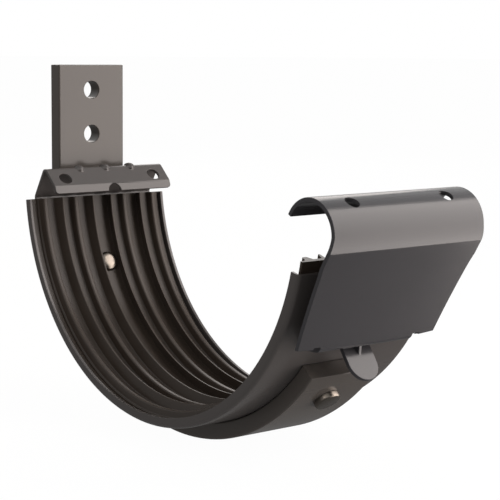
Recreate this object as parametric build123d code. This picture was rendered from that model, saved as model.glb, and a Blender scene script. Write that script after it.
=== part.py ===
from build123d import *
import math
import os

# A gutter bracket that joins and carries a half-round gutter of the 125 mm size.
# Sizes are millimetres. The pieces are laid out about the gutter's own axis: +X runs along the
# gutter, +Y points at the fascia and +Z is up. Angles round the gutter start at the street side
# and grow downwards: 0 is the street side, 90 the bottom and 180 the fascia side.
# At the end everything is moved so that the origin lies between the two screw holes, on the
# strap's back face.

# The gutter that the bracket holds
GUTTER_R = 63.5            # outside radius of the half round
BEAD_R = 8.0               # radius of the rolled bead along its street edge
BEAD_OUT = 7.0             # bead centre beyond the half round, towards the street
BEAD_DROP = 5.1            # bead centre below the gutter's axis

# Fits between the pieces
SEAT_GAP = 0.05            # paint film between seated curved faces
RIVET_PLAY = 0.05          # radial play of a rivet's shank in its holes
SLOT_PLAY = 0.25           # play of the lock plate's lugs in the shell's slots
SLOT_DEPTH = 12.0          # depth of the slots' cutters

# Ribbed rubber seal: thin lips and broad beads take turns, mirrored about the middle
SEAL_WEB_T = 1.35          # sheet that carries the ribs
LIP_H = 3.1                # height above the sheet
LIP_SQUEEZE = 1.4          # how far the gutter presses into the lips
LIP_PLACES = (4.5, 16.0)   # middle of each lip's foot, from the seal's middle
LIP_FOOT_W = 1.3
LIP_CREST_W = 0.6
LIP_LEAN = 1.0             # a lip's crest leans this far towards the seal's middle
BEAD_RIB_H = 2.1
BEAD_RIB_PLACES = (9.4, 20.9)
BEAD_RIB_FOOT_W = 2.8
BEAD_RIB_CREST_W = 1.5
SEAL_SIDE_GAP = 0.6        # from the seal's edge to the shell's flange
SEAL_EDGE_T = 0.8          # thin band along each edge of the seal
SEAL_EDGE_W = 1.6
SEAL_HOLE_PLAY = 0.1       # round each rivet's shank
SEAL_STAND_UP = 3.1        # how far the seal stands above the shell's street end

# Joint shell: one pressed sheet, a channel with its flanges turned in towards the gutter
SHELL_T = 1.0
SHELL_W = 52.0
SHELL_FLANGE_H = 3.1       # flange height, sheet included
SHELL_BEND = 0.8           # broken outer corners of the flange bends
SHELL_FRONT_DEG = 13.8     # street end
SHELL_REAR_DEG = 173.5     # fascia end, where the rear hook starts

# Rear hook, one with the shell: it takes the gutter's back edge
HOOK_INSET = 3.8           # from the shell's side to the hook's side
HOOK_FOOT_RISE = 0.8
HOOK_LEG = 10.0
HOOK_LEG_LEAN = 31.0       # degrees from upright, towards the street
HOOK_TOP = 1.35
HOOK_TOP_SLOPE = 3.0       # degrees from level
HOOK_FRONT = 6.85
HOOK_FRONT_LEAN = 46.5     # degrees from upright
HOOK_LIP = 2.4
HOOK_LIP_LEAN = 19.0
HOOK_FOOT_R = 1.2          # mean radii of the hook's bends
HOOK_TOP_R = 1.1
HOOK_FOLD_R = 0.9
HOOK_CORNER_R = 1.1
HOOK_HOLE_D = 4.3
HOOK_HOLE_X = 16.95
HOOK_HOLE_DOWN = 4.0       # along the front leg, from the top
NOTCH_R = 2.4              # drain notch in the middle of the lip
NOTCH_RISE = 2.4           # height of the notch above the lip's edge
PIP_PITCH = 9.8            # pressed stiffening pips over the top of the hook
PIP_COUNT = 3
PIP_R = 1.2
PIP_TIP_R = 0.4
PIP_LEN = 2.6              # without its pointed ends

# Bracket strap: one flat bar, bent round the shell and up the fascia
STRAP_W = 25.0
STRAP_T = 5.0
STRAP_EDGE = 0.4           # broken edges of the bar
STRAP_END_DEG = 39.5       # square cut end, under the street side
STRAP_TOP = 35.0           # top of the strap above the gutter's axis
SCREW_HOLE_D = 5.7
SCREW_PITCH = 14.3
SCREW_TOP_GAP = 8.1        # from the strap's top to the upper hole's centre

# Rivets through strap, shell and seal
RIVET_D = 5.0
RIVET_HEAD_D = 7.6
RIVET_HEAD_H = 1.6
RIVET_HEAD_EDGE = 0.4      # broken rim of the head
RIVET_INNER_D = 6.5
RIVET_INNER_H = 1.5
RIVET_INNER_EDGE = 0.7
FRONT_RIVET_DEG = 48.5
REAR_RIVET_DEG = 154.0

# Lock plate: one folded sheet that snaps over the bead
PLATE_T = 1.2
BEAD_PLAY = 0.1            # between the bead and the curl
CURL_TIP_DEG = 27.5        # curl's free edge, above level on the fascia side
CURL_END_DEG = 203.0       # where the round ends on the street side
CURL_RUN = 0.55            # straight run from the round to the bend line
CURL_HALF_W = 26.9
CURL_HOLE_D = 4.0
CURL_HOLE_X = 16.85
CURL_HOLE_DEG = 120.5
CREASE_DEG = 8.5           # turn of the sheet at the bend line
CREASE_R = 1.6             # mean radius there
APRON_LEN = 30.6           # along the sheet, from the bend line to the flange's bend
APRON_R = 300.0            # the apron is dished a little towards the fascia
SHOULDER_HALF_W = 27.4
SHOULDER_H = 4.1           # upright part of the shoulder below the bend line
SHOULDER_STEP_H = 2.6      # sloping part of the shoulder
APRON_TOP_HALF_W = 26.9
APRON_FOOT_HALF_W = 24.7
APRON_FOOT_RISE = 1.65     # the lower corners stand this far above the flange's lower face
APRON_EDGE_DROP = 0.4      # the lower edge falls by this from corner to bend relief
LUG_HALF_W = 16.8          # half width of the flange that turns in towards the shell
FLANGE_BEND_R = 1.6        # mean radius of the bend from apron to flange
RELIEF_W = 2.4             # bend relief beside the flange
RELIEF_H = 0.5
LUG_ENTER = 0.75           # how far the lugs reach into the shell's sheet
TONGUE_W = 10.0
TONGUE_SLIT = 0.6
TONGUE_FOLD = 1.8          # from the flange's bend to the tongue's fold
TONGUE_FOLD_R = 1.1        # mean radius of the fold
TONGUE_LEN = 9.6           # from the fold to the tip
TONGUE_LEAN = 35.0         # degrees from upright, towards the street
GUSSET_LEN = 2.4           # pressed gusset in the tongue's fold
GUSSET_HALF_W = 0.5

# Radii that follow from the sizes above
SEAL_WEB_R = GUTTER_R - LIP_SQUEEZE + LIP_H
SEAL_R = SEAL_WEB_R + SEAL_WEB_T
SHELL_R_IN = SEAL_R + SEAT_GAP
SHELL_R = SHELL_R_IN + SHELL_T
SHELL_R_MID = SHELL_R_IN + SHELL_T / 2
STRAP_R_IN = SHELL_R + SEAT_GAP
STRAP_R = STRAP_R_IN + STRAP_T
CURL_R_IN = BEAD_R + BEAD_PLAY
CURL_R = CURL_R_IN + PLATE_T
CURL_R_MID = CURL_R_IN + PLATE_T / 2
SEAL_HALF_W = SHELL_W / 2 - SHELL_T - SEAL_SIDE_GAP
HOOK_HALF_W = SHELL_W / 2 - HOOK_INSET
RIVET_INNER_SEAT = math.sqrt(SEAL_WEB_R**2 - (RIVET_INNER_D / 2) ** 2) - SEAT_GAP
REACH = 2 * STRAP_R        # longer than any cut has to be

# Places that follow from the sizes above
SCREW_TOP_Z = STRAP_TOP - SCREW_TOP_GAP
SCREW_MID_Z = SCREW_TOP_Z - SCREW_PITCH / 2
CURL_Y = -(GUTTER_R + BEAD_OUT)
CURL_Z = -BEAD_DROP


def around(degrees, radius):
    """Y and Z of a point at this angle round the gutter's axis."""
    turn = math.radians(degrees)
    return (-radius * math.cos(turn), -radius * math.sin(turn))


def step(point, heading, length):
    """Y and Z of the point this far on, where heading 0 is +Y and 90 is +Z."""
    turn = math.radians(heading)
    return (point[0] + length * math.cos(turn), point[1] + length * math.sin(turn))


def heading_vector(heading):
    """Direction of a heading as local x and y, where x stands for Y and y for Z."""
    return step((0, 0), heading, 1)


def section_plane(degrees):
    """Plane of the gutter's section at this angle: local x is X, local y points outwards."""
    turn = math.radians(degrees)
    return Plane((0, 0, 0), x_dir=(1, 0, 0), z_dir=(0, math.sin(turn), -math.cos(turn)))


def radial_plane(degrees):
    """Plane square to the radius at this angle: local z points outwards."""
    y, z = around(degrees, 1)
    return Plane((0, 0, 0), x_dir=(1, 0, 0), z_dir=(0, y, z))


def swept(section, start, end):
    """A section, drawn with x along X and y as radius, turned round the gutter's axis."""
    placed = section_plane(start) * section
    return revolve(placed, axis=Axis.X, revolution_arc=end - start)


def side_face(line):
    """The face inside a closed line drawn with x as Y and y as Z."""
    return Plane.YZ * make_face(line)


def radial_hole(degrees, diameter, inner, outer):
    """A round cutter along the radius at this angle, between two radii."""
    post = Cylinder(diameter / 2, outer - inner, align=(Align.CENTER, Align.CENTER, Align.MIN))
    return radial_plane(degrees) * Pos(0, 0, inner) * post


def make_strap():
    """Flat bar with broken edges, two screw holes and two rivet holes."""
    bar = Rectangle(STRAP_W, STRAP_T)
    bar = Pos(0, (STRAP_R_IN + STRAP_R) / 2) * chamfer(bar.vertices(), STRAP_EDGE)
    bend = swept(bar, STRAP_END_DEG, 180)
    leg = extrude(section_plane(180) * bar, amount=STRAP_TOP)
    strap = bend + leg
    for z in (SCREW_TOP_Z, SCREW_TOP_Z - SCREW_PITCH):
        drill = Cylinder(SCREW_HOLE_D / 2, REACH)
        strap -= Pos(0, (STRAP_R_IN + STRAP_R) / 2, z) * Rot(90, 0, 0) * drill
    for degrees in (FRONT_RIVET_DEG, REAR_RIVET_DEG):
        strap -= radial_hole(degrees, RIVET_D + 2 * RIVET_PLAY, SHELL_R_IN, REACH)
    return strap


def channel_section():
    """Shell's section: the sheet with both edges turned in."""
    rim_r = SHELL_R - SHELL_FLANGE_H
    outer = Pos(0, (rim_r + SHELL_R) / 2) * Rectangle(SHELL_W, SHELL_FLANGE_H)
    outer = chamfer(outer.vertices().group_by(Axis.Y)[-1], SHELL_BEND)
    inside_h = SHELL_FLANGE_H - SHELL_T
    inner = Pos(0, rim_r + inside_h / 2) * Rectangle(SHELL_W - 2 * SHELL_T, inside_h)
    return outer - inner


def hook_points():
    """Corners of the hook's mean line: foot, bend, back of top, front of top, fold and edge."""
    foot = around(SHELL_REAR_DEG, SHELL_R_MID)
    bend = step(foot, SHELL_REAR_DEG - 90, HOOK_FOOT_RISE)
    back = step(bend, 90 + HOOK_LEG_LEAN, HOOK_LEG)
    front = step(back, 180 - HOOK_TOP_SLOPE, HOOK_TOP)
    fold = step(front, 270 - HOOK_FRONT_LEAN, HOOK_FRONT)
    edge = step(fold, 270 - HOOK_LIP_LEAN, HOOK_LIP)
    return [foot, bend, back, front, fold, edge]


def hook_pip(back, front, x):
    """One pressed pip: a round rib with pointed ends across the top of the hook."""
    middle = ((back[0] + front[0]) / 2, (back[1] + front[1]) / 2)
    point = Cone(PIP_R, PIP_TIP_R, PIP_R, align=(Align.CENTER, Align.CENTER, Align.MIN))
    rib = Cylinder(PIP_R, PIP_LEN)
    rib += Pos(0, 0, PIP_LEN / 2) * point
    rib += Pos(0, 0, -PIP_LEN / 2) * Rot(180, 0, 0) * point
    return Pos(x, middle[0], middle[1]) * Rot(90 - HOOK_TOP_SLOPE, 0, 0) * rib


def make_hook():
    """Rear hook: leg, top with pips, front leg with two holes, and a notched lip."""
    foot, bend, back, front, fold, lip = hook_points()
    radii = [HOOK_FOOT_R, HOOK_TOP_R, HOOK_TOP_R, HOOK_FOLD_R]
    mean_line = FilletPolyline(foot, bend, back, front, fold, lip, radius=radii)
    side = Plane.YZ * trace(mean_line, line_width=SHELL_T)
    hook = extrude(side, amount=HOOK_HALF_W, both=True)
    across = [edge for edge in hook.edges() if math.isclose(edge.length, SHELL_T, rel_tol=0.01)]
    hook = fillet(ShapeList(across).group_by(Axis.Y)[0], HOOK_CORNER_R)
    for number in range(PIP_COUNT):
        hook += hook_pip(back, front, (number - (PIP_COUNT - 1) / 2) * PIP_PITCH)
    centre = step(front, 270 - HOOK_FRONT_LEAN, HOOK_HOLE_DOWN)
    for x in (-HOOK_HOLE_X, HOOK_HOLE_X):
        drill = Cylinder(HOOK_HOLE_D / 2, HOOK_HOLE_D)
        hook -= Pos(x, centre[0], centre[1]) * Rot(90 - HOOK_FRONT_LEAN, 0, 0) * drill
    notch_z = lip[1] + NOTCH_RISE - NOTCH_R
    hook -= Pos(0, lip[0], notch_z) * Rot(90, 0, 0) * Cylinder(NOTCH_R, HOOK_LIP)
    return hook


def plate_path():
    """Mean line of the lock plate's sheet: curl, run, crease, apron, flange bend and flange."""
    tip = step((CURL_Y, CURL_Z), CURL_TIP_DEG, CURL_R_MID)
    curl = JernArc(tip, heading_vector(CURL_TIP_DEG + 90), CURL_R_MID, CURL_END_DEG - CURL_TIP_DEG)
    run = Line(curl @ 1, curl @ 1 + (curl % 1) * CURL_RUN)
    crease = JernArc(run @ 1, run % 1, CREASE_R, CREASE_DEG)
    apron_turn = math.degrees(APRON_LEN / APRON_R)
    apron = JernArc(crease @ 1, crease % 1, APRON_R, -apron_turn)
    steepness = 360 - (CURL_END_DEG + 90 + CREASE_DEG - apron_turn)
    bend = JernArc(apron @ 1, apron % 1, FLANGE_BEND_R, steepness)
    level = (bend @ 1).Y
    reach_in = SHELL_R - LUG_ENTER
    flange = Line(bend @ 1, (-math.sqrt(reach_in**2 - (level + PLATE_T / 2) ** 2), level))
    return curl, run, crease, apron, bend, flange


def flange_levels():
    """Heights of the flange's lower and upper face."""
    level = (plate_path()[-1] @ 0).Y
    return level - PLATE_T / 2, level + PLATE_T / 2


def make_shell():
    """Channel round the gutter with its rear hook, rivet holes and two slots."""
    shell = swept(channel_section(), SHELL_FRONT_DEG, SHELL_REAR_DEG)
    shell += make_hook()
    for degrees in (FRONT_RIVET_DEG, REAR_RIVET_DEG):
        shell -= radial_hole(degrees, RIVET_D + 2 * RIVET_PLAY, SHELL_R_IN - SHELL_T, STRAP_R_IN)
    low, high = flange_levels()
    inner_x = TONGUE_W / 2 + TONGUE_SLIT - SLOT_PLAY
    outer_x = LUG_HALF_W + SLOT_PLAY
    slot_w = outer_x - inner_x
    slot = Box(slot_w, SLOT_DEPTH, high - low + 2 * SLOT_PLAY)
    slot_y = -math.sqrt(SHELL_R_MID**2 - low**2)
    for x in (-1, 1):
        shell -= Pos(x * (inner_x + outer_x) / 2, slot_y, (low + high) / 2) * slot
    return shell


def rib_points(place, lean, foot_w, crest_w, height):
    """Outline of one rib on the +X side, in the order in which X grows."""
    crest_x = place - lean
    crest_r = SEAL_WEB_R - height
    return [
        (place - foot_w / 2, SEAL_WEB_R),
        (crest_x - crest_w / 2, crest_r),
        (crest_x + crest_w / 2, crest_r),
        (place + foot_w / 2, SEAL_WEB_R),
    ]


def seal_section():
    """Seal's section: sheet with a thin band along each edge, lips and beads."""
    band_r = SEAL_R - SEAL_EDGE_T
    web_x = SEAL_HALF_W - SEAL_EDGE_W
    half = []
    for lip, bead in zip(LIP_PLACES, BEAD_RIB_PLACES):
        half += rib_points(lip, LIP_LEAN, LIP_FOOT_W, LIP_CREST_W, LIP_H)
        half += rib_points(bead, 0, BEAD_RIB_FOOT_W, BEAD_RIB_CREST_W, BEAD_RIB_H)
    half += [(web_x, SEAL_WEB_R), (web_x, band_r), (SEAL_HALF_W, band_r), (SEAL_HALF_W, SEAL_R)]
    other_half = [(-x, radius) for x, radius in reversed(half)]
    return make_face(Polyline(*other_half, *half, close=True))


def make_seal():
    """Rubber strip with ribs along the gutter's round, and holes for the rivets."""
    stand_up = math.degrees(SEAL_STAND_UP / SEAL_R)
    seal = swept(seal_section(), SHELL_FRONT_DEG - stand_up, SHELL_REAR_DEG)
    for degrees in (FRONT_RIVET_DEG, REAR_RIVET_DEG):
        seal -= radial_hole(degrees, RIVET_D + 2 * SEAL_HOLE_PLAY, SEAL_WEB_R - SEAL_WEB_T, SHELL_R)
    return seal


def make_rivet(degrees):
    """Round rivet: low head outside the strap, shank, and a small head on the seal's sheet."""
    stand = (Align.CENTER, Align.CENTER, Align.MIN)
    head = Cylinder(RIVET_HEAD_D / 2, RIVET_HEAD_H, align=stand)
    head = chamfer(head.edges().group_by(Axis.Z)[-1], RIVET_HEAD_EDGE)
    shank = Cylinder(RIVET_D / 2, STRAP_R - RIVET_INNER_SEAT, align=stand)
    inner = Cylinder(RIVET_INNER_D / 2, RIVET_INNER_H, align=stand)
    inner = chamfer(inner.edges().group_by(Axis.Z)[0], RIVET_INNER_EDGE)
    rivet = Pos(0, 0, STRAP_R) * head
    rivet += Pos(0, 0, RIVET_INNER_SEAT) * shank
    rivet += Pos(0, 0, RIVET_INNER_SEAT - RIVET_INNER_H) * inner
    return radial_plane(degrees) * rivet


def plate_outline():
    """The lock plate seen from the street: one half of its outline, from the top down."""
    bend_z = (plate_path()[1] @ 1).Y
    low = flange_levels()[0]
    foot_z = low + APRON_FOOT_RISE
    edge_z = foot_z - APRON_EDGE_DROP
    relief_x = LUG_HALF_W + RELIEF_W
    top = CURL_Z + 2 * CURL_R
    return [
        (0, top),
        (CURL_HALF_W, top),
        (CURL_HALF_W, CURL_Z),
        (SHOULDER_HALF_W, bend_z),
        (SHOULDER_HALF_W, bend_z - SHOULDER_H),
        (APRON_TOP_HALF_W, bend_z - SHOULDER_H - SHOULDER_STEP_H),
        (APRON_FOOT_HALF_W, foot_z),
        (relief_x, edge_z),
        (relief_x, edge_z + RELIEF_H),
        (LUG_HALF_W, edge_z + RELIEF_H),
        (LUG_HALF_W, low - PLATE_T),
        (0, low - PLATE_T),
    ]


def plate_sheet():
    """Curl, dished apron and flange as one folded sheet, cut to the plate's outline."""
    section = trace(Curve() + plate_path(), line_width=PLATE_T)
    sheet = extrude(Plane.YZ * section, amount=SHOULDER_HALF_W, both=True)
    outline = make_face(Polyline(*plate_outline(), close=True))
    half = extrude(Plane.XZ * outline, amount=REACH, both=True)
    return sheet & (half + mirror(half, about=Plane.YZ))


def tongue_path():
    """Mean line of the tongue: along the flange, round the fold, and out to its round end."""
    start = plate_path()[-1] @ 0
    strip = Line(start, (start.X + TONGUE_FOLD, start.Y))
    fold = JernArc(strip @ 1, strip % 1, TONGUE_FOLD_R, -(90 + TONGUE_LEAN))
    end = step(tuple(fold @ 1)[:2], 270 - TONGUE_LEAN, TONGUE_LEN - TONGUE_W / 2)
    return strip, fold, Line(fold @ 1, end)


def make_tongue():
    """Middle strip of the flange, folded back and down, with a round end and a gusset."""
    strip, fold, blade = tongue_path()
    section = trace(Curve() + [strip, fold, blade], line_width=PLATE_T)
    tongue = extrude(Plane.YZ * section, amount=TONGUE_W / 2, both=True)
    out = blade % 1
    end = blade @ 1
    disc = Plane((0, end.X, end.Y), x_dir=(1, 0, 0), z_dir=(0, out.Y, -out.X)) * Circle(TONGUE_W / 2)
    tongue += extrude(disc, amount=PLATE_T / 2, both=True)
    return tongue + make_gusset(fold, blade)


def make_gusset(fold, blade):
    """Pressed web in the fold's inner corner, between the flange's lower face and the tongue."""
    root = blade @ 0 + Vector(blade % 0).rotate(Axis.Z, -90) * (PLATE_T / 2)
    foot = root + (blade % 0) * GUSSET_LEN
    low = (fold @ 0).Y - PLATE_T / 2
    corner = ((fold @ 0).X, low)
    near = ((fold @ 0).X - GUSSET_LEN / 2, low)
    web = Polyline((root.X, root.Y), (foot.X, foot.Y), near, corner, close=True)
    return extrude(side_face(web), amount=GUSSET_HALF_W, both=True)


def make_lock_plate():
    """Curl, dished apron, flange with two lugs, and the tongue folded out of its middle."""
    low, high = flange_levels()
    fold_start = tongue_path()[0] @ 1
    behind = (Align.CENTER, Align.MIN, Align.CENTER)
    gap = Box(TONGUE_W + 2 * TONGUE_SLIT, REACH, PLATE_T * 2, align=behind)
    plate = plate_sheet() - Pos(0, fold_start.X - TONGUE_SLIT, (low + high) / 2) * gap
    plate += make_tongue()
    for x in (-CURL_HOLE_X, CURL_HOLE_X):
        drill = Cylinder(CURL_HOLE_D / 2, CURL_R, align=(Align.CENTER, Align.CENTER, Align.MIN))
        plate -= Pos(x, CURL_Y, CURL_Z) * Rot(CURL_HOLE_DEG - 90, 0, 0) * drill
    return plate


def save(parts):
    """Move each piece to the frame of the screw holes and write it as its own file."""
    os.makedirs("parts", exist_ok=True)
    to_screws = Pos(0, -STRAP_R, -SCREW_MID_Z)
    for name, part in parts.items():
        export_step(to_screws * part, f"parts/{name}.step")


save(
    {
        "bracket_strap": make_strap(),
        "joint_shell": make_shell(),
        "ribbed_seal": make_seal(),
        "lock_plate": make_lock_plate(),
        "front_rivet": make_rivet(FRONT_RIVET_DEG),
        "rear_rivet": make_rivet(REAR_RIVET_DEG),
    }
)
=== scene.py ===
"""Half-round gutter bracket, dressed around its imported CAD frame.

Lengths in the pieces' fields are millimetres, as a maker writes them, and MM turns them to metres.
Angles are degrees. +X runs along the gutter, +Y points at the fascia and +Z is up.
"""

import logging
import math
from dataclasses import dataclass
from enum import Enum
from typing import Any, Callable

import bmesh
import bpy
from mathutils import Matrix, Vector


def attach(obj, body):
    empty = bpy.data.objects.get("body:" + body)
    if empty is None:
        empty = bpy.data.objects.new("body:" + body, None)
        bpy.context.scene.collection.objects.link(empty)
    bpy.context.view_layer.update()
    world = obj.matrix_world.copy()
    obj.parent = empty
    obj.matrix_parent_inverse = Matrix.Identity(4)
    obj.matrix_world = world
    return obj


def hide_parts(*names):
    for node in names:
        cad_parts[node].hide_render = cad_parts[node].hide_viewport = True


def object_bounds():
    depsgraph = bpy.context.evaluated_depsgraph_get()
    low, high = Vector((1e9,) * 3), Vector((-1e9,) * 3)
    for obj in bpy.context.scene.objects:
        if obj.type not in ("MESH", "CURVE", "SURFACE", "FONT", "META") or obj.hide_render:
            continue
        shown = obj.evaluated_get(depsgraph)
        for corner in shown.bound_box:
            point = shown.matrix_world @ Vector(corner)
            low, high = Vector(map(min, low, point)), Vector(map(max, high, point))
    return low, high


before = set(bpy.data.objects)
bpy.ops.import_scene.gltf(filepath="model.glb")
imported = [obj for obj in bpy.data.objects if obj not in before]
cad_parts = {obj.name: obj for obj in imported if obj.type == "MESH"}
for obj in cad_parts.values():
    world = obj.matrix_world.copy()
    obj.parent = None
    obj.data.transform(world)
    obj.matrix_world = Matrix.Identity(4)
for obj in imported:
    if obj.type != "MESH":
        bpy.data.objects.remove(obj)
cad_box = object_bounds()

LOG = logging.getLogger("gutter_bracket")
MM = 0.001
GUTTER_AXIS = Vector((0.0, -72.65, -19.75)) * MM
ALONG = Vector((1.0, 0.0, 0.0))  # the gutter's direction
DEPTH = Vector((0.0, 1.0, 0.0))  # towards the fascia
WHITE = "ffffff"
WARM_WHITE = "fff6f1"
RIVET_PLACES = (48.5, 154.0)  # degrees round the gutter: street side, fascia side
RIVET_DRILL_DEPTH = 7.0
DRILL_STEPS = 40
SHEET_SMOOTH_DEG = 34.0  # on sheet and bar, sharper edges are broken and the rest shades smooth
ROUND_SMOOTH_DEG = 50.0  # on rubber and rivets, bends up to this shade smooth
FLAT_WEIGHT = 60  # how much the flat faces rule the shading next to them
SAME_PLACE = 0.001  # points this near to each other are merged
NEARLY = 0.05  # a point this near to a place is picked by it


class Node(Enum):
    """The six physical pieces, by the names of their CAD nodes."""

    STRAP = "bracket_strap"
    SHELL = "joint_shell"
    SEAL = "ribbed_seal"
    PLATE = "lock_plate"
    FRONT_RIVET = "front_rivet"
    REAR_RIVET = "rear_rivet"


class Cut(Enum):
    """What one piece does with another that meets it."""

    AWAY = "DIFFERENCE"
    TOGETHER = "UNION"
    WITHIN = "INTERSECT"


def linear(hex_colour: str) -> tuple[float, float, float, float]:
    """Turn an sRGB hex colour to linear light.

    Args:
        hex_colour: Six hex digits, such as "5e5957".

    Returns:
        Red, green, blue and an alpha of 1.
    """
    parts = [int(hex_colour[i : i + 2], 16) / 255 for i in (0, 2, 4)]
    red, green, blue = (p / 12.92 if p <= 0.04045 else ((p + 0.055) / 1.055) ** 2.4 for p in parts)
    return red, green, blue, 1.0


def add_node(
    tree: bpy.types.NodeTree, kind: str, inputs: dict[str | int, Any] | None = None, **settings: Any
) -> bpy.types.Node:
    """Add one shader node with its settings and links.

    Args:
        tree: Node tree that gets the node.
        kind: Blender's name of the node type.
        inputs: A value, or the output socket to link, for each input by name or number.
        **settings: Properties of the node itself.

    Returns:
        The new node.
    """
    made = tree.nodes.new(kind)
    for name, value in settings.items():
        setattr(made, name, value)
    for key, value in (inputs or {}).items():
        if isinstance(value, bpy.types.NodeSocket):
            tree.links.new(value, made.inputs[key])
        else:
            made.inputs[key].default_value = value
    return made


def new_material(name: str) -> tuple[bpy.types.Material, bpy.types.NodeTree]:
    """Make a material with no nodes.

    Args:
        name: Name of the material.

    Returns:
        The material and its empty node tree.
    """
    material = bpy.data.materials.new(name)
    material.use_nodes = True
    material.node_tree.nodes.clear()
    return material, material.node_tree


def per_metre(size_mm: float) -> float:
    """Noise scale at which one cell measures this many millimetres."""
    return 1 / (size_mm * MM)


def on_round(degrees: float, radius_mm: float, x_mm: float = 0.0) -> Vector:
    """Point round the gutter's axis.

    Args:
        degrees: Angle from the street side, growing downwards: 90 is the bottom, 180 the fascia.
        radius_mm: Distance from the gutter's axis.
        x_mm: Place along the gutter.

    Returns:
        The point in the shared frame, in metres.
    """
    turn = math.radians(degrees)
    from_axis = Vector((x_mm, -radius_mm * math.cos(turn), -radius_mm * math.sin(turn)))
    return GUTTER_AXIS + from_axis * MM


def radial(degrees: float) -> Vector:
    """Direction away from the gutter's axis at this angle."""
    return on_round(degrees, 1.0) - GUTTER_AXIS


def at(x_mm: float, y_mm: float, z_mm: float) -> Vector:
    """Point measured from the gutter's axis, in the shared frame in metres."""
    return GUTTER_AXIS + Vector((x_mm, y_mm, z_mm)) * MM


class Workpiece:
    """A mesh on the bench, shaped by edit-mode operators with its selection made in code."""

    def __init__(self, name: str, start: Vector) -> None:
        """Put one point down to draw from.

        Args:
            name: Name of the piece.
            start: Place of the point.
        """
        bpy.ops.object.select_all(action="DESELECT")
        bpy.ops.mesh.primitive_plane_add(size=MM, location=start)
        bpy.ops.object.transform_apply(location=True)
        self.obj: bpy.types.Object = bpy.context.object
        self.obj.name = name
        bpy.ops.object.mode_set(mode="EDIT")
        bpy.ops.mesh.select_all(action="SELECT")
        bpy.ops.mesh.merge(type="CENTER")

    def draw(self, by: Vector) -> None:
        """Extrude what is selected by this much."""
        bpy.ops.mesh.extrude_region_move(TRANSFORM_OT_translate={"value": by})

    def draw_through(self, points: list[Vector]) -> None:
        """Extrude the end point through these places, of which the first is where it is now."""
        for here, there in zip(points, points[1:]):
            self.draw(there - here)

    def spin(self, centre: Vector, degrees: float, steps: int, axis: Vector = ALONG) -> None:
        """Turn what is selected round an axis, right-handed, and leave its trail as a mesh."""
        # The operator itself turns left-handed.
        bpy.ops.mesh.spin(steps=steps, angle=-math.radians(degrees), center=centre, axis=axis)

    def pick(self, wanted: Callable[[Vector], bool]) -> None:
        """Select points by their place, and what lies between them.

        Args:
            wanted: Says of a place whether its point is selected.
        """
        bpy.ops.mesh.select_all(action="DESELECT")
        mesh = bmesh.from_edit_mesh(self.obj.data)
        for vert in mesh.verts:
            vert.select = wanted(vert.co)
        mesh.select_flush(True)
        bmesh.update_edit_mesh(self.obj.data)

    def take_all(self) -> None:
        """Select the whole mesh."""
        bpy.ops.mesh.select_all(action="SELECT")

    def merge_doubles(self) -> None:
        """Select the whole mesh and merge points that share a place."""
        self.take_all()
        bpy.ops.mesh.remove_doubles(threshold=SAME_PLACE * MM)

    def round_corners(self, width_mm: float, segments: int) -> None:
        """Round the selected corner points in the plane of their faces."""
        bpy.ops.mesh.bevel(affect="VERTICES", offset=width_mm * MM, segments=segments)

    def clean(self) -> None:
        """Merge doubles, then turn all faces outwards."""
        self.merge_doubles()
        bpy.ops.mesh.normals_make_consistent(inside=False)

    def leave(self) -> None:
        """Leave edit mode with only this piece selected."""
        if bpy.context.mode != "OBJECT":
            bpy.ops.object.mode_set(mode="OBJECT")
        bpy.ops.object.select_all(action="DESELECT")
        self.obj.select_set(True)
        bpy.context.view_layer.objects.active = self.obj

    def modify(self, kind: str, **settings: Any) -> None:
        """Add a modifier with its settings and apply it.

        Args:
            kind: Blender's name of the modifier type.
            **settings: Its properties.
        """
        self.leave()
        modifier = self.obj.modifiers.new(kind.lower(), kind)
        for name, value in settings.items():
            setattr(modifier, name, value)
        bpy.ops.object.modifier_apply(modifier=modifier.name)

    def thicken(self, sheet_mm: float) -> None:
        """Give the sheet's middle face its thickness, half to each side."""
        self.clean()
        self.modify("SOLIDIFY", thickness=sheet_mm * MM, offset=0.0, use_even_offset=True)

    def combine(self, tool: "Workpiece", how: Cut) -> None:
        """Cut with, add or keep what lies in another piece, which is used up.

        Args:
            tool: The other piece.
            how: What to do with it.
        """
        tool.leave()
        self.modify("BOOLEAN", operation=how.value, solver="EXACT", object=tool.obj)
        bpy.data.objects.remove(tool.obj)

    def smooth(self, up_to_deg: float) -> None:
        """Shade shallow bends smooth and keep the flat faces flat.

        Args:
            up_to_deg: Bends up to this are shaded smooth.
        """
        self.leave()
        bpy.ops.object.shade_smooth_by_angle(angle=math.radians(up_to_deg))
        self.modify("WEIGHTED_NORMAL", keep_sharp=True, weight=FLAT_WEIGHT)

    def break_edges(self, edge_mm: float) -> None:
        """Break the sharp edges of sheet or bar, and shade it.

        Args:
            edge_mm: Width of the broken edge.
        """
        self.modify(
            "BEVEL",
            width=edge_mm * MM,
            segments=2,
            limit_method="ANGLE",
            angle_limit=math.radians(SHEET_SMOOTH_DEG),
            use_clamp_overlap=False,
            miter_outer="MITER_ARC",
        )
        self.smooth(SHEET_SMOOTH_DEG)


def filled(name: str, corners: list[Vector]) -> Workpiece:
    """Draw a closed outline and fill it with one face, which stays selected.

    Args:
        name: Name of the piece.
        corners: The outline's corners, in metres.

    Returns:
        The flat piece.
    """
    piece = Workpiece(name, corners[0])
    piece.draw_through([*corners, corners[0]])
    piece.merge_doubles()
    bpy.ops.mesh.edge_face_add()
    return piece


def block(name: str, corners: list[Vector], by_mm: Vector) -> Workpiece:
    """Extrude a closed outline to a solid.

    Args:
        name: Name of the piece.
        corners: The outline's corners, in metres.
        by_mm: How far the outline is extruded.

    Returns:
        The solid.
    """
    piece = filled(name, corners)
    piece.draw(by_mm * MM)
    piece.clean()
    return piece


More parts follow.
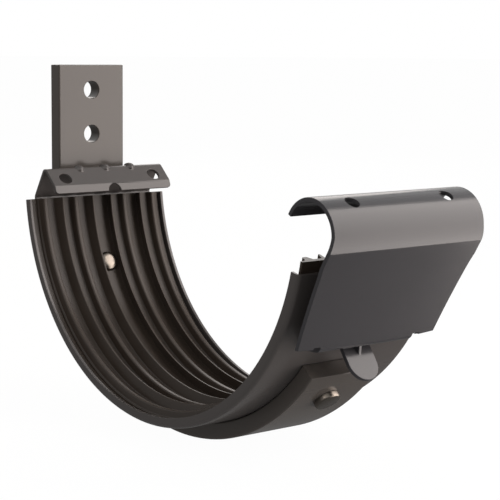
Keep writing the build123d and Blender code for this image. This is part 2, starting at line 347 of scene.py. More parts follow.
def drill(
    name: str, centre: Vector, diameter_mm: float, depth_mm: float, along: Vector
) -> Workpiece:
    """Turn a round cutter.

    Args:
        name: Name of the cutter.
        centre: Middle of the cutter.
        diameter_mm: Its diameter.
        depth_mm: Its length.
        along: Its axis.

    Returns:
        The cutter, ready for combine().
    """
    along = along.normalized()
    side = along.orthogonal().normalized()
    cutter = Workpiece(name, centre - along * depth_mm / 2 * MM)
    cutter.draw(side * diameter_mm / 2 * MM)
    cutter.draw(along * depth_mm * MM)
    cutter.draw(-side * diameter_mm / 2 * MM)
    cutter.take_all()
    cutter.spin(centre, 360.0, DRILL_STEPS, along)
    cutter.clean()
    return cutter


def drill_for_rivets(piece: Workpiece, radius_mm: float, diameter_mm: float) -> None:
    """Drill a piece through for both rivets.

    Args:
        piece: The strap, the shell or the seal.
        radius_mm: Distance of the holes' middle from the gutter's axis.
        diameter_mm: Diameter of the holes.
    """
    for degrees in RIVET_PLACES:
        middle = on_round(degrees, radius_mm)
        tool = drill("rivet_drill", middle, diameter_mm, RIVET_DRILL_DEPTH, radial(degrees))
        piece.combine(tool, Cut.AWAY)


@dataclass
class Pen:
    """A draughtsman's pen in the gutter's section, which knows its place and its heading."""

    piece: Workpiece
    y_mm: float
    z_mm: float
    heading: float
    arc_step: float

    def run(self, length_mm: float) -> None:
        """Draw straight on.

        Args:
            length_mm: Length of the line.
        """
        turn = math.radians(self.heading)
        step = Vector((0.0, length_mm * math.cos(turn), length_mm * math.sin(turn)))
        self.piece.draw(step * MM)
        self.y_mm += step.y
        self.z_mm += step.z

    def bend(self, radius_mm: float, degrees: float) -> None:
        """Draw an arc that turns the heading; positive turns from the fascia upwards.

        Args:
            radius_mm: Radius of the arc.
            degrees: Turn of the heading.
        """
        side = math.copysign(1.0, degrees)
        inward = math.radians(self.heading + 90 * side)
        centre_y = self.y_mm + radius_mm * math.cos(inward)
        centre_z = self.z_mm + radius_mm * math.sin(inward)
        steps = max(2, round(abs(degrees) / self.arc_step))
        self.piece.spin(at(0, centre_y, centre_z), degrees, steps)
        out = inward + math.pi + math.radians(degrees)
        self.y_mm = centre_y + radius_mm * math.cos(out)
        self.z_mm = centre_z + radius_mm * math.sin(out)
        self.heading += degrees

    def corner(
        self, length_mm: float, radius_mm: float, degrees: float, used_mm: float = 0.0
    ) -> float:
        """Draw a leg up to its corner and round that corner.

        Args:
            length_mm: Length of the leg from corner to corner.
            radius_mm: Radius of the bend.
            degrees: Turn of the heading.
            used_mm: What the last bend took from the leg.

        Returns:
            What this bend takes from the next leg.
        """
        taken = radius_mm * math.tan(math.radians(abs(degrees)) / 2)
        self.run(length_mm - used_mm - taken)
        self.bend(radius_mm, degrees)
        return taken


@dataclass
class BracketPiece:
    """What every physical piece has: the CAD node that it stands for and its material slot."""

    node: Node
    slot: str

    def build(self) -> Workpiece:
        """Model the piece."""
        raise NotImplementedError

    def dress(self, material: bpy.types.Material) -> None:
        """Model the piece, give it its finish and let it stand for its CAD node.

        Args:
            material: Its finish.
        """
        piece = self.build()
        piece.leave()
        piece.obj.data.materials.clear()
        piece.obj.data.materials.append(material)
        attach(piece.obj, "root")
        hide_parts(self.node.value)
        faces = len(piece.obj.data.polygons)
        LOG.info("%s stands for %s with %d faces", piece.obj.name, self.node.value, faces)


@dataclass
class BracketStrap(BracketPiece):
    """The flat bar, bent round the bottom and up the fascia."""

    width: float = 25.0
    thickness: float = 5.0
    inner_radius: float = 67.65
    end_deg: float = 39.5
    top: float = 35.0
    corner: float = 0.55
    end_edge: float = 0.3
    screw_hole: float = 5.7
    screw_heights: tuple[float, float] = (26.9, 12.6)
    screw_drill_depth: float = 15.0
    rivet_hole: float = 5.1
    bend_steps: int = 72

    def build(self) -> Workpiece:
        """Draw the bar's section, spin it round the bottom, run it up and drill it.

        Returns:
            The finished bar.
        """
        outer_radius = self.inner_radius + self.thickness
        middle = (self.inner_radius + outer_radius) / 2
        half = self.width / 2
        corners = [(-half, self.inner_radius), (half, self.inner_radius)]
        corners += [(half, outer_radius), (-half, outer_radius)]
        bar = filled("strap_bar", [on_round(self.end_deg, radius, x) for x, radius in corners])
        bar.round_corners(self.corner, segments=3)
        bar.take_all()
        bar.spin(GUTTER_AXIS, 180 - self.end_deg, self.bend_steps)
        bar.draw(Vector((0, 0, self.top)) * MM)
        bar.clean()
        bar.leave()
        for z in self.screw_heights:
            centre = at(0, middle, z)
            tool = drill("screw_drill", centre, self.screw_hole, self.screw_drill_depth, DEPTH)
            bar.combine(tool, Cut.AWAY)
        drill_for_rivets(bar, middle, self.rivet_hole)
        bar.break_edges(self.end_edge)
        return bar


@dataclass(frozen=True)
class HookPlaces:
    """What the hook's holes, notch and pips are measured from."""

    top: Vector
    hole: Vector
    lip: Vector
    front_turn: float


@dataclass
class JointShell(BracketPiece):
    """The pressed channel round the gutter with its flanges, and the rear hook in one piece."""

    sheet: float = 1.0
    width: float = 52.0
    outer_radius: float = 67.6
    flange: float = 3.1
    bend: float = 0.9
    bend_steps: int = 4
    front_deg: float = 13.8
    rear_deg: float = 173.5
    steps: int = 96
    hook_half_width: float = 22.2
    foot_rise: float = 0.8
    foot_bend: float = 1.2
    leg: float = 10.0
    leg_lean: float = 31.0
    top: float = 1.35
    top_slope: float = 3.0
    top_bend: float = 1.1
    front: float = 6.85
    front_lean: float = 46.5
    lip: float = 2.4
    lip_lean: float = 19.0
    lip_bend: float = 0.9
    lip_corner: float = 1.1
    hook_arc_step: float = 12.0
    hole: float = 4.3
    hole_x: float = 16.95
    hole_down: float = 4.0
    notch: float = 2.4
    notch_depth: float = 3.0
    pip_pitch: float = 9.8
    pip_half_length: float = 2.2
    pip_radius: float = 1.7
    pip_sink: float = 0.3
    pip_steps: int = 16
    # Half of a pip's outline, as shares of its half length and of its radius.
    pip_outline: tuple[tuple[float, float], ...] = ((-1.0, 0.0), (-0.8, 0.55), (-0.45, 0.92))
    slot_x: tuple[float, float] = (5.35, 17.05)
    slot_y: tuple[float, float] = (-62.0, -50.0)
    slot_z: tuple[float, float] = (-37.83, -36.13)
    rivet_hole: float = 5.1
    edge: float = 0.18

    def channel(self) -> Workpiece:
        """Draw the channel's middle line with its two bends and spin it round the gutter.

        Returns:
            The channel, a sheet with no thickness.
        """
        side = self.width / 2 - self.sheet / 2
        web = self.outer_radius - self.sheet / 2
        rim = self.outer_radius - self.flange
        flat = side - self.bend
        start = self.front_deg
        tangent = radial(start + 90)
        bend_foot = on_round(start, web - self.bend)
        shell = Workpiece("shell_channel", on_round(start, rim, -side))
        shell.draw(bend_foot - on_round(start, rim))
        shell.spin(on_round(start, web - self.bend, -flat), 90, self.bend_steps, -tangent)
        stops = [-flat, -self.hook_half_width, self.hook_half_width, flat]
        shell.draw_through([at(x, 0, 0) for x in stops])
        shell.spin(on_round(start, web - self.bend, flat), 90, self.bend_steps, -tangent)
        shell.draw(on_round(start, rim) - bend_foot)
        shell.take_all()
        shell.spin(GUTTER_AXIS, self.rear_deg - start, self.steps)
        return shell

    def add_hook(self, shell: Workpiece) -> HookPlaces:
        """Extrude the web's fascia end into the hook's leg, top, front leg and lip.

        Args:
            shell: The channel, still a sheet with no thickness.

        Returns:
            The hook's places, and the slope of its front leg.
        """
        foot = on_round(self.rear_deg, self.outer_radius - self.sheet / 2)
        reach = (self.hook_half_width + NEARLY) * MM
        near = NEARLY * MM
        shell.pick(lambda place: abs(place.x) < reach and (place.yz - foot.yz).length < near)
        from_axis = (foot - GUTTER_AXIS) / MM
        pen = Pen(shell, from_axis.y, from_axis.z, self.rear_deg - 90, self.hook_arc_step)
        lean = 90 + self.leg_lean
        taken = pen.corner(self.foot_rise, self.foot_bend, lean - pen.heading)
        taken = pen.corner(self.leg, self.top_bend, 180 - self.top_slope - lean, taken)
        top_y, top_z = pen.y_mm, pen.z_mm
        turn_down = 90 - self.front_lean + self.top_slope
        taken = pen.corner(self.top, self.top_bend, turn_down, taken)
        turn = math.radians(pen.heading)
        corner_y = pen.y_mm - taken * math.cos(turn)
        corner_z = pen.z_mm - taken * math.sin(turn)
        top = at(0, (top_y + corner_y) / 2, (top_z + corner_z) / 2)
        down = Vector((0, math.cos(turn), math.sin(turn))) * self.hole_down * MM
        hole = at(0, corner_y, corner_z) + down
        taken = pen.corner(self.front, self.lip_bend, self.front_lean - self.lip_lean, taken)
        pen.run(self.lip - taken)
        end = at(0, pen.y_mm, pen.z_mm)
        shell.pick(lambda place: (place.yz - end.yz).length < near)
        shell.round_corners(self.lip_corner, segments=4)
        return HookPlaces(top, hole, end, turn)

    def pip(self, top: Vector, x_mm: float) -> Workpiece:
        """Turn one pressed pip: a round rib with soft ends across the top of the hook.

        Args:
            top: Middle of the hook's top.
            x_mm: Place of the pip along the gutter.

        Returns:
            The pip, ready for combine().
        """
        slope = math.radians(180 - self.top_slope)
        along = Vector((0, math.cos(slope), math.sin(slope)))
        up = Vector((0, along.z, -along.y))
        middle = top + (Vector((x_mm, 0, 0)) - up * self.pip_sink) * MM
        far_half = [(-far, high) for far, high in reversed(self.pip_outline)]
        places = [
            middle + along * far * self.pip_half_length * MM + up * high * self.pip_radius * MM
            for far, high in [*self.pip_outline, (0.0, 1.0), *far_half]
        ]
        pip = Workpiece("pressed_pip", places[0])
        pip.draw_through(places)
        pip.take_all()
        pip.spin(middle, 360, self.pip_steps, along)
        pip.clean()
        return pip

    def lug_slot(self, side: int) -> Workpiece:
        """Make the cutter of one slot for the lock plate's lug.

        Args:
            side: 1 for the slot on the +X side, -1 for the other.

        Returns:
            The cutter.
        """
        inner, outer = (side * x for x in self.slot_x)
        start, end = self.slot_y
        low, high = self.slot_z
        corners = [at(inner, start, low), at(outer, start, low)]
        corners += [at(outer, start, high), at(inner, start, high)]
        return block("lug_slot", corners, Vector((0, end - start, 0)))

    def build(self) -> Workpiece:
        """Make the sheet, give it its thickness, then cut and press it.

        Returns:
            The finished shell.
        """
        shell = self.channel()
        hook = self.add_hook(shell)
        shell.thicken(self.sheet)
        square = Vector((0, -math.sin(hook.front_turn), math.cos(hook.front_turn)))
        for x in (-self.hole_x, self.hole_x):
            centre = hook.hole + Vector((x, 0, 0)) * MM
            shell.combine(drill("hook_drill", centre, self.hole, self.hole, square), Cut.AWAY)
        notch = drill("notch_drill", hook.lip, 2 * self.notch, self.notch_depth, DEPTH)
        shell.combine(notch, Cut.AWAY)
        for x in (-self.pip_pitch, 0, self.pip_pitch):
            shell.combine(self.pip(hook.top, x), Cut.TOGETHER)
        for side in (-1, 1):
            shell.combine(self.lug_slot(side), Cut.AWAY)
        drill_for_rivets(shell, self.outer_radius, self.rivet_hole)
        shell.break_edges(self.edge)
        return shell


@dataclass
class RibbedSeal(BracketPiece):
    """The extruded rubber strip with thin lips and broad beads along the gutter's round."""

    web_radius: float = 65.2
    back_radius: float = 66.55
    half_width: float = 24.4
    edge_band: float = 0.8
    edge_width: float = 1.6
    lip_height: float = 3.1
    lip_places: tuple[float, float] = (4.5, 16.0)
    lip_foot: float = 1.3
    lip_crest: float = 0.6
    lip_lean: float = 1.0
    bead_height: float = 2.1
    bead_places: tuple[float, float] = (9.4, 20.9)
    bead_foot: float = 2.8
    bead_crest: float = 1.5
    lip_rounding: float = 0.18
    bead_rounding: float = 0.38
    foot_rounding: float = 0.3
    front_deg: float = 11.13
    rear_deg: float = 173.5
    rivet_hole: float = 5.2
    steps: int = 120

    def half_outline(self) -> list[tuple[float, float]]:
        """List the corners of the +X half of the section, from the middle outwards.

        Returns:
            Each corner's X and its distance from the gutter's axis.
        """
        web, crest_of_lip = self.web_radius, self.web_radius - self.lip_height
        crest_of_bead = self.web_radius - self.bead_height
        half: list[tuple[float, float]] = []
        for lip, bead in zip(self.lip_places, self.bead_places):
            crest = lip - self.lip_lean
            half += [
                (lip - self.lip_foot / 2, web),
                (crest - self.lip_crest / 2, crest_of_lip),
                (crest + self.lip_crest / 2, crest_of_lip),
                (lip + self.lip_foot / 2, web),
                (bead - self.bead_foot / 2, web),
                (bead - self.bead_crest / 2, crest_of_bead),
                (bead + self.bead_crest / 2, crest_of_bead),
                (bead + self.bead_foot / 2, web),
            ]
        band = self.back_radius - self.edge_band
        edge = self.half_width - self.edge_width
        half += [(edge, web), (edge, band)]
        return half + [(self.half_width, band), (self.half_width, self.back_radius)]

    def build(self) -> Workpiece:
        """Draw the section, round its crests and feet, and spin it round the gutter.

        Returns:
            The finished seal.
        """
        half = self.half_outline()
        outline = [(-x, radius) for x, radius in reversed(half)] + half
        places = [on_round(self.front_deg, radius, x) for x, radius in outline]
        seal = filled("seal_strip", places)
        for radius, rounding, segments in (
            (self.web_radius - self.lip_height, self.lip_rounding, 2),
            (self.web_radius - self.bead_height, self.bead_rounding, 3),
            (self.web_radius, self.foot_rounding, 2),
        ):
            seal.pick(lambda place: abs((place - GUTTER_AXIS).yz.length / MM - radius) < NEARLY)
            seal.round_corners(rounding, segments)
        seal.take_all()
        seal.spin(GUTTER_AXIS, self.rear_deg - self.front_deg, self.steps)
        seal.clean()
        seal.leave()
        drill_for_rivets(seal, self.back_radius, self.rivet_hole)
        seal.smooth(ROUND_SMOOTH_DEG)
        return seal


@dataclass
class LockPlate(BracketPiece):
    """The folded sheet at the street side: curl, dished apron, flange with two lugs, tongue."""

    sheet: float = 1.2
    bead_centre: tuple[float, float] = (-70.5, -5.1)
    curl_radius: float = 8.7
    tip_deg: float = 27.5
    end_deg: float = 203.0
    curl_arc_step: float = 4.0
    run: float = 0.55
    crease_deg: float = 8.5
    crease_radius: float = 1.6
    crease_arc_step: float = 3.0
    apron: float = 30.6
    apron_radius: float = 300.0
    apron_arc_step: float = 0.5
    flange_bend: float = 1.6
    flange_arc_step: float = 9.0
    flange_end_y: float = -56.08
    curl_half_width: float = 26.9
    shoulder_half_width: float = 27.4
    shoulder: float = 4.1
    shoulder_step: float = 2.6
    apron_half_width: float = 26.9
    foot_half_width: float = 24.7
    foot_rise: float = 1.65
    edge_drop: float = 0.4
    lug_half_width: float = 16.8
    relief_width: float = 2.4
    relief_height: float = 0.5
    outline_y: tuple[float, float] = (-90.0, -30.0)
    outline_spare: float = 0.02
    hole: float = 4.0
    hole_x: float = 16.85
    hole_deg: float = 120.5
    hole_depth: float = 6.0
    tongue_width: float = 10.0
    tongue_slit: float = 0.6
    tongue_fold: float = 1.8
    tongue_fold_radius: float = 1.1
    tongue_arc_step: float = 10.0
    tongue_length: float = 9.6
    tongue_lean: float = 35.0
    tongue_tip_flat: float = 0.04
    gap_z: tuple[float, float] = (-1.0, 3.0)
    gap_depth: float = 12.0
    gusset: float = 2.4
    gusset_half: float = 0.5
    gusset_sink: float = 0.05
    edge: float = 0.2

    def sheet_line(self) -> tuple[Workpiece, float, tuple[float, float]]:
        """Draw the plate's side line and extrude it along the gutter.

        Returns:
            The sheet, the height of its bend line, and the start of its flange.
        """
        turn = math.radians(self.tip_deg)
        y, z = self.bead_centre
        y += self.curl_radius * math.cos(turn)
        z += self.curl_radius * math.sin(turn)
        plate = Workpiece("plate_sheet", at(-self.shoulder_half_width, y, z))
        pen = Pen(plate, y, z, self.tip_deg + 90, self.curl_arc_step)
        pen.bend(self.curl_radius, self.end_deg - self.tip_deg)
        pen.run(self.run)
        bend_z = pen.z_mm
        pen.arc_step = self.crease_arc_step
        pen.bend(self.crease_radius, self.crease_deg)
        pen.arc_step = self.apron_arc_step
        pen.bend(self.apron_radius, -math.degrees(self.apron / self.apron_radius))
        pen.arc_step = self.flange_arc_step
        pen.bend(self.flange_bend, 360 - pen.heading)
        start = (pen.y_mm, pen.z_mm)
        pen.run(self.flange_end_y - pen.y_mm)
        plate.take_all()
        plate.draw(Vector((2 * self.shoulder_half_width, 0, 0)) * MM)
        plate.thicken(self.sheet)
        return plate, bend_z, start

    def outline(self, bend_z: float, low: float) -> Workpiece:
        """Make the cutter with the plate's outline as seen from the street.

        Args:
            bend_z: Height of the bend line.
            low: Height of the flange's lower face.

        Returns:
            The cutter, which keeps what lies within it.
        """
        over_curl = self.bead_centre[1] + 3 * self.curl_radius
        widest = self.shoulder_half_width + self.outline_spare
        edge_z = low + self.foot_rise - self.edge_drop
        relief = self.lug_half_width + self.relief_width
        half = [
            (self.curl_half_width, over_curl),
            (self.curl_half_width, self.bead_centre[1]),
            (widest, bend_z),
            (widest, bend_z - self.shoulder),
            (self.apron_half_width, bend_z - self.shoulder - self.shoulder_step),
            (self.foot_half_width, low + self.foot_rise),
            (relief, edge_z),
            (relief, edge_z + self.relief_height),
            (self.lug_half_width, edge_z + self.relief_height),
            (self.lug_half_width, low - self.sheet),
        ]
        both = half + [(-x, z) for x, z in reversed(half)]
        start, end = self.outline_y
        places = [at(x, start, z) for x, z in both]
        return block("plate_outline", places, Vector((0, end - start, 0)))

    def tongue(self, start: tuple[float, float]) -> tuple[Workpiece, float]:
        """Draw the tongue's strip, fold and blade, and round its end.

        Args:
            start: Place where the flange starts.

        Returns:
            The tongue with its web, and the place of its fold along Y.
        """
        half = self.tongue_width / 2
        tongue = Workpiece("plate_tongue", at(-half, *start))
        pen = Pen(tongue, *start, 0.0, self.tongue_arc_step)
        pen.run(self.tongue_fold)
        fold_y = pen.y_mm
        pen.bend(self.tongue_fold_radius, -(90 + self.tongue_lean))
        pen.run(self.tongue_length)
        tongue.take_all()
        tongue.draw(Vector((self.tongue_width, 0, 0)) * MM)
        end = at(0, pen.y_mm, pen.z_mm)
        tongue.pick(lambda place: (place.yz - end.yz).length < NEARLY * MM)
        tongue.round_corners(half - self.tongue_tip_flat / 2, segments=10)
        tongue.thicken(self.sheet)
        tongue.combine(self.gusset_web(fold_y, start[1] - self.sheet / 2, pen), Cut.TOGETHER)
        return tongue, fold_y

    def gusset_web(self, fold_y: float, low: float, tip: Pen) -> Workpiece:
        """Make the pressed web in the fold's corner, under the flange and before the tongue.

        Args:
            fold_y: Place of the fold.
            low: Height of the flange's lower face.
            tip: The pen at the tongue's tip, which gives the blade's place and heading.

        Returns:
            The web, whose edges are sunk in the sheet.
        """
        turn = math.radians(tip.heading)
        down_y, down_z = math.cos(turn), math.sin(turn)
        skin = self.sheet / 2 - self.gusset_sink
        root_y = tip.y_mm - down_y * self.tongue_length + down_z * skin
        root_z = tip.z_mm - down_z * self.tongue_length - down_y * skin
        corners = [
            (root_y, root_z),
            (root_y + down_y * self.gusset, root_z + down_z * self.gusset),
            (fold_y - self.gusset / 2, low + self.gusset_sink),
            (fold_y, low + self.gusset_sink),
        ]
        places = [at(-self.gusset_half, *corner) for corner in corners]
        return block("gusset_web", places, Vector((2 * self.gusset_half, 0, 0)))

    def tongue_gap(self, fold_y: float, low: float) -> Workpiece:
        """Make the cutter of the gap that frees the tongue from the flange.

        Args:
            fold_y: Place of the fold.
            low: Height of the flange's lower face.

        Returns:
            The cutter.
        """
        x = self.tongue_width / 2 + self.tongue_slit
        y = fold_y - self.tongue_slit
        bottom, top = (low + z for z in self.gap_z)
        places = [at(-x, y, bottom), at(x, y, bottom), at(x, y, top), at(-x, y, top)]
        return block("tongue_gap", places, Vector((0, self.gap_depth, 0)))

    def build(self) -> Workpiece:
        """Make the sheet, cut its outline, slits and holes, and add the tongue.

        Returns:
            The finished plate.
        """
        plate, bend_z, start = self.sheet_line()
        low = start[1] - self.sheet / 2
        plate.combine(self.outline(bend_z, low), Cut.WITHIN)
        tongue, fold_y = self.tongue(start)
        plate.combine(self.tongue_gap(fold_y, low), Cut.AWAY)
        plate.combine(tongue, Cut.TOGETHER)
        turn = math.radians(self.hole_deg)
        out = Vector((0, math.cos(turn), math.sin(turn)))
        for x in (-self.hole_x, self.hole_x):
            centre = at(x, *self.bead_centre) + out * self.curl_radius * MM
            plate.combine(drill("curl_drill", centre, self.hole, self.hole_depth, out), Cut.AWAY)
        plate.break_edges(self.edge)
        return plate


@dataclass
class Rivet(BracketPiece):
    """A round rivet: low head outside the strap, shank, and a small domed head on the seal."""

    name: str
    angle: float
    head: float = 7.6
    head_height: float = 1.6
    head_edge: float = 0.45
    head_ease: float = 0.29
    shank: float = 5.0
    inner_head: float = 6.5
    inner_height: float = 1.5
    inner_seat: float = 65.07
    # The inner head's dome, as shares of its radius and millimetres down from its top.
    dome: tuple[tuple[float, float], ...] = (
        (0.0, 0.0), (0.5, 0.08), (0.8, 0.36), (0.95, 0.78), (1.0, 1.2)
    )
    strap_radius: float = 72.65
    steps: int = 48

    def build(self) -> Workpiece:
        """Draw half the rivet's section and spin it about the rivet's own axis.

        Returns:
            The finished rivet.
        """
        inner_top = self.inner_seat - self.inner_height
        head_top = self.strap_radius + self.head_height
        ease = self.head_edge * self.head_ease
        half = [(self.inner_head / 2 * share, inner_top + drop) for share, drop in self.dome]
        half += [
            (self.inner_head / 2, self.inner_seat),
            (self.shank / 2, self.inner_seat),
            (self.shank / 2, self.strap_radius),
            (self.head / 2, self.strap_radius),
            (self.head / 2, head_top - self.head_edge),
            (self.head / 2 - ease, head_top - ease),
            (self.head / 2 - self.head_edge, head_top),
            (0.0, head_top),
        ]
        places = [on_round(self.angle, radius, x) for x, radius in half]
        rivet = Workpiece(self.name, places[0])
        rivet.draw_through(places)
        rivet.take_all()
        rivet.spin(places[0], 360, self.steps, radial(self.angle))
        rivet.clean()
        rivet.leave()
        bpy.ops.object.shade_smooth_by_angle(angle=math.radians(ROUND_SMOOTH_DEG))
        return rivet


@dataclass(frozen=True)
class CoatedSteel:
    """Polyester-coated steel: a satin film with a fine orange peel over sheet or bar.

    The film hides the metal, so it is a dielectric. The eye gets a soft broad highlight, a colour
    that drifts a little, and a very fine pebble.
    """

    name: str
    colour: str
    drift: str
    roughness: float = 0.2
    rough_spread: float = 0.05
    specular: float = 0.32
    drift_mm: float = 28.0
    peel_mm: float = 0.55
    peel_height_mm: float = 0.006
    film_ior: float = 1.5

    def make(self) -> bpy.types.Material:
        """Build the node material.

        Returns:
            The material.
        """
        material, tree = new_material(self.name)
        place = add_node(tree, "ShaderNodeTexCoord").outputs["Object"]
        inputs = {"Vector": place, "Scale": per_metre(self.drift_mm), "Detail": 4.0}
        cloud = add_node(tree, "ShaderNodeTexNoise", inputs)
        inputs = {"Vector": place, "Scale": per_metre(self.peel_mm), "Detail": 2.0}
        peel = add_node(tree, "ShaderNodeTexNoise", inputs)
        inputs = {"Factor": cloud.outputs["Fac"], "A": linear(self.colour), "B": linear(self.drift)}
        tint = add_node(tree, "ShaderNodeMix", inputs, data_type="RGBA")
        low, high = self.roughness - self.rough_spread, self.roughness + self.rough_spread
        inputs = {"Value": peel.outputs["Fac"], "To Min": low, "To Max": high}
        rough = add_node(tree, "ShaderNodeMapRange", inputs)
        inputs = {"Height": peel.outputs["Fac"], "Distance": self.peel_height_mm * MM}
        bump = add_node(tree, "ShaderNodeBump", inputs | {"Strength": 1.0})
        shader = add_node(
            tree,
            "ShaderNodeBsdfPrincipled",
            {
                "Base Color": tint.outputs["Result"],
                "Roughness": rough.outputs["Result"],
                "Normal": bump.outputs["Normal"],
                "IOR": self.film_ior,
                "Specular IOR Level": self.specular,
            },
        )
        add_node(tree, "ShaderNodeOutputMaterial", {"Surface": shader.outputs[0]})
        return material


@dataclass(frozen=True)
class ExtrudedRubber:
    """EPDM rubber, extruded.

    The eye gets a near black with a soft shine, a faint bloom, and fine lines drawn along it.
    """

    name: str
    colour: str
    bloom: str
    roughness: tuple[float, float] = (0.24, 0.38)
    specular: float = 0.17
    line_mm: float = 0.5
    line_stretch: float = 0.02
    line_height_mm: float = 0.02
    bloom_mm: float = 9.0
    rubber_ior: float = 1.52

    def make(self) -> bpy.types.Material:
        """Build the node material.

        Returns:
            The material.
        """
        material, tree = new_material(self.name)
        place = add_node(tree, "ShaderNodeTexCoord").outputs["Object"]
        stretch = (1.0, self.line_stretch, self.line_stretch)
        drawn = add_node(tree, "ShaderNodeMapping", {"Vector": place, "Scale": stretch}).outputs[0]
        inputs = {"Vector": drawn, "Scale": per_metre(self.line_mm), "Detail": 2.0}
        lines = add_node(tree, "ShaderNodeTexNoise", inputs)
        inputs = {"Vector": place, "Scale": per_metre(self.bloom_mm), "Detail": 5.0}
        cloud = add_node(tree, "ShaderNodeTexNoise", inputs)
        inputs = {"Factor": cloud.outputs["Fac"], "A": linear(self.colour), "B": linear(self.bloom)}
        tint = add_node(tree, "ShaderNodeMix", inputs, data_type="RGBA")
        low, high = self.roughness
        inputs = {"Value": cloud.outputs["Fac"], "To Min": low, "To Max": high}
        rough = add_node(tree, "ShaderNodeMapRange", inputs)
        inputs = {"Height": lines.outputs["Fac"], "Distance": self.line_height_mm * MM}
        bump = add_node(tree, "ShaderNodeBump", inputs)
        shader = add_node(
            tree,
            "ShaderNodeBsdfPrincipled",
            {
                "Base Color": tint.outputs["Result"],
                "Roughness": rough.outputs["Result"],
                "Normal": bump.outputs["Normal"],
                "IOR": self.rubber_ior,
                "Specular IOR Level": self.specular,
            },
        )
        add_node(tree, "ShaderNodeOutputMaterial", {"Surface": shader.outputs[0]})
        return material


@dataclass(frozen=True)
class ZincPlatedSteel:
    """Zinc-plated rivet steel, the only bare metal.

    The eye gets a bright edge, a blurred mirror, and a soft grain from the plating bath.
    """

    name: str
    colour: str
    stain: str
    roughness: tuple[float, float] = (0.22, 0.4)
    grain_mm: float = 0.9
    grain_height_mm: float = 0.01

    def make(self) -> bpy.types.Material:
        """Build the node material.

        Returns:
            The material.
        """
        material, tree = new_material(self.name)
        place = add_node(tree, "ShaderNodeTexCoord").outputs["Object"]
        inputs = {"Vector": place, "Scale": per_metre(self.grain_mm), "Detail": 4.0}
        grain = add_node(tree, "ShaderNodeTexNoise", inputs)
        inputs = {"Factor": grain.outputs["Fac"], "A": linear(self.colour), "B": linear(self.stain)}
        tint = add_node(tree, "ShaderNodeMix", inputs, data_type="RGBA")
        low, high = self.roughness
        inputs = {"Value": grain.outputs["Fac"], "To Min": low, "To Max": high}
        rough = add_node(tree, "ShaderNodeMapRange", inputs)
        inputs = {"Height": grain.outputs["Fac"], "Distance": self.grain_height_mm * MM}
        bump = add_node(tree, "ShaderNodeBump", inputs)
        shader = add_node(
            tree,
            "ShaderNodeBsdfPrincipled",
            {
                "Base Color": tint.outputs["Result"],
                "Roughness": rough.outputs["Result"],
                "Normal": bump.outputs["Normal"],
                "Metallic": 1.0,
            },
        )
        add_node(tree, "ShaderNodeOutputMaterial", {"Surface": shader.outputs[0]})
        return material


@dataclass
class Camera:
    """The photograph's viewing angle, as fitted to the bracket's own edges."""

    picture_px: int = 500
    focal_px: float = 1526.72
    sensor_mm: float = 36.0
    place_mm: tuple[float, float, float] = (-276.793, -425.004, 20.322)
    right: tuple[float, float, float] = (0.774218, -0.632852, 0.009280)
    down: tuple[float, float, float] = (-0.074895, -0.106165, -0.991524)

    def build(self) -> None:
        """Create the camera and make it the scene's camera."""
        data = bpy.data.cameras.new("photo_camera")
        data.sensor_fit = "HORIZONTAL"
        data.sensor_width = self.sensor_mm
        data.lens = self.focal_px / self.picture_px * self.sensor_mm
        camera = bpy.data.objects.new("photo_camera", data)
        bpy.context.scene.collection.objects.link(camera)
        right = Vector(self.right).normalized()
        up = -Vector(self.down).normalized()
        back = right.cross(up)
        turn = Matrix((right, up, back)).transposed().to_4x4()
        camera.matrix_world = Matrix.Translation(Vector(self.place_mm) * MM) @ turn
        bpy.context.scene.camera = camera


@dataclass(frozen=True)
class Card:
    """One soft card, a rectangle of light that the camera doesn't see.

    Its middle and its size, the level width and the height, are in metres. Its power is in watts.
    """

    name: str
    middle: tuple[float, float, float]
    facing: tuple[float, float, float]
    size: tuple[float, float]
    watts: float
    tint: str = WARM_WHITE

    def hang(self) -> None:
        """Hang the card in the scene."""
        data = bpy.data.lights.new(self.name, "AREA")
        data.shape = "RECTANGLE"
        data.size, data.size_y = self.size
        data.energy = self.watts
        data.color = linear(self.tint)[:3]
        lamp = bpy.data.objects.new(self.name, data)
        bpy.context.scene.collection.objects.link(lamp)
        lamp.location = self.middle
        lamp.rotation_euler = Vector(self.facing).to_track_quat("-Z", "Y").to_euler()
        lamp.visible_camera = False


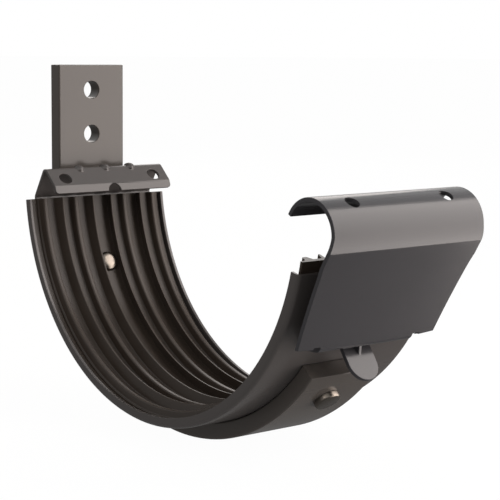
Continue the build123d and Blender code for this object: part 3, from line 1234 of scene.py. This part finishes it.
@dataclass
class Studio:
    """White floor and surroundings, one large upright soft card and two dim fills, in metres."""

    floor_size: float = 40.0
    floor_colour: str = "f6f6f4"
    floor_glow: float = 0.975
    world_light: float = 0.65
    ground_light: float = 0.17
    horizon: tuple[float, float] = (-0.08, 0.5)
    cards: tuple[Card, ...] = (
        Card("front_card", (0.276, -0.293, 0.075), (-0.6, 0.8, 0.0), (0.33, 0.75), 3.85),
        Card("back_card", (0.55, 0.75, 0.55), (-0.5, -0.7, -0.5), (0.7, 0.7), 2.5),
        Card("left_card", (-0.9, -0.5, 0.6), (0.8, 0.45, -0.5), (0.6, 0.6), 2.2),
    )

    def floor(self) -> None:
        """Lay the floor at the bracket's lowest point.

        It shows white and keeps a trace of the bracket's shadow. It doesn't hide the lower half of
        the front card from the bracket, so the card lights it as if it hung in the studio.
        """
        bpy.ops.object.select_all(action="DESELECT")
        bpy.ops.mesh.primitive_plane_add(size=self.floor_size, location=(0, 0, cad_box[0][2]))
        bpy.ops.object.transform_apply(location=True)
        floor = bpy.context.object
        floor.name = "floor"
        material, tree = new_material("matt white studio floor")
        rays = add_node(tree, "ShaderNodeLightPath")
        inputs = {0: rays.outputs["Is Camera Ray"], 1: self.floor_glow}
        share = add_node(tree, "ShaderNodeMath", inputs, operation="MULTIPLY")
        matt = add_node(tree, "ShaderNodeBsdfDiffuse", {"Color": linear(self.floor_colour)})
        glow = add_node(tree, "ShaderNodeEmission", {"Color": linear(WHITE), "Strength": 1.0})
        inputs = {0: share.outputs[0], 1: matt.outputs[0], 2: glow.outputs[0]}
        both = add_node(tree, "ShaderNodeMixShader", inputs)
        add_node(tree, "ShaderNodeOutputMaterial", {"Surface": both.outputs[0]})
        floor.data.materials.append(material)
        floor.visible_glossy = False
        floor.visible_diffuse = False
        floor.visible_shadow = False

    def world(self) -> None:
        """Show white to the camera and in reflections, and light the bracket at a plain level.

        Below the horizon a reflection meets the floor under the bracket, which lies in its shade.
        """
        world = bpy.data.worlds.new("white studio")
        world.use_nodes = True
        tree = world.node_tree
        tree.nodes.clear()
        rays = add_node(tree, "ShaderNodeLightPath")
        heading = add_node(tree, "ShaderNodeTexCoord").outputs["Generated"]
        upright = add_node(tree, "ShaderNodeSeparateXYZ", {"Vector": heading}).outputs["Z"]
        low, high = self.horizon
        inputs = {
            "Value": upright,
            "From Min": low,
            "From Max": high,
            "To Min": self.ground_light,
            "To Max": 1.0,
        }
        mirrored = add_node(tree, "ShaderNodeMapRange", inputs).outputs["Result"]
        inputs = {"Factor": rays.outputs["Is Glossy Ray"], "A": self.world_light, "B": mirrored}
        unseen = add_node(tree, "ShaderNodeMix", inputs, data_type="FLOAT").outputs["Result"]
        inputs = {"Factor": rays.outputs["Is Camera Ray"], "A": unseen, "B": 1.0}
        strength = add_node(tree, "ShaderNodeMix", inputs, data_type="FLOAT").outputs["Result"]
        inputs = {"Color": linear(WHITE), "Strength": strength}
        sky = add_node(tree, "ShaderNodeBackground", inputs)
        add_node(tree, "ShaderNodeOutputWorld", {"Surface": sky.outputs[0]})
        bpy.context.scene.world = world

    def build(self) -> None:
        """Set up the floor, the world and the cards, and show colours as they are."""
        self.floor()
        self.world()
        for card in self.cards:
            card.hang()
        bpy.context.scene.view_settings.view_transform = "Standard"


STRAP_COAT = CoatedSteel("polyester-coated steel bar", colour="3f3a37", drift="44403c")
SHELL_COAT = CoatedSteel("polyester-coated steel channel", colour="403c3b", drift="454240")
PLATE_COAT = CoatedSteel("polyester-coated steel plate", colour="313032", drift="363537")
SEAL_RUBBER = ExtrudedRubber("extruded EPDM rubber", colour="2c2520", bloom="37302a")
RIVET_STEEL = ZincPlatedSteel("zinc-plated rivet steel", colour="7d766e", stain="69625b")


def main() -> None:
    """Build the scene."""
    logging.basicConfig(level=logging.INFO)
    Camera().build()
    Studio().build()
    BracketStrap(Node.STRAP, "strap_coat").dress(STRAP_COAT.make())
    JointShell(Node.SHELL, "shell_coat").dress(SHELL_COAT.make())
    RibbedSeal(Node.SEAL, "seal_rubber").dress(SEAL_RUBBER.make())
    LockPlate(Node.PLATE, "plate_coat").dress(PLATE_COAT.make())
    rivet_steel = RIVET_STEEL.make()
    street, fascia = RIVET_PLACES
    Rivet(Node.FRONT_RIVET, "rivet_steel", "street_rivet", street).dress(rivet_steel)
    Rivet(Node.REAR_RIVET, "rivet_steel", "fascia_rivet", fascia).dress(rivet_steel)


if __name__ == "__main__":
    main()
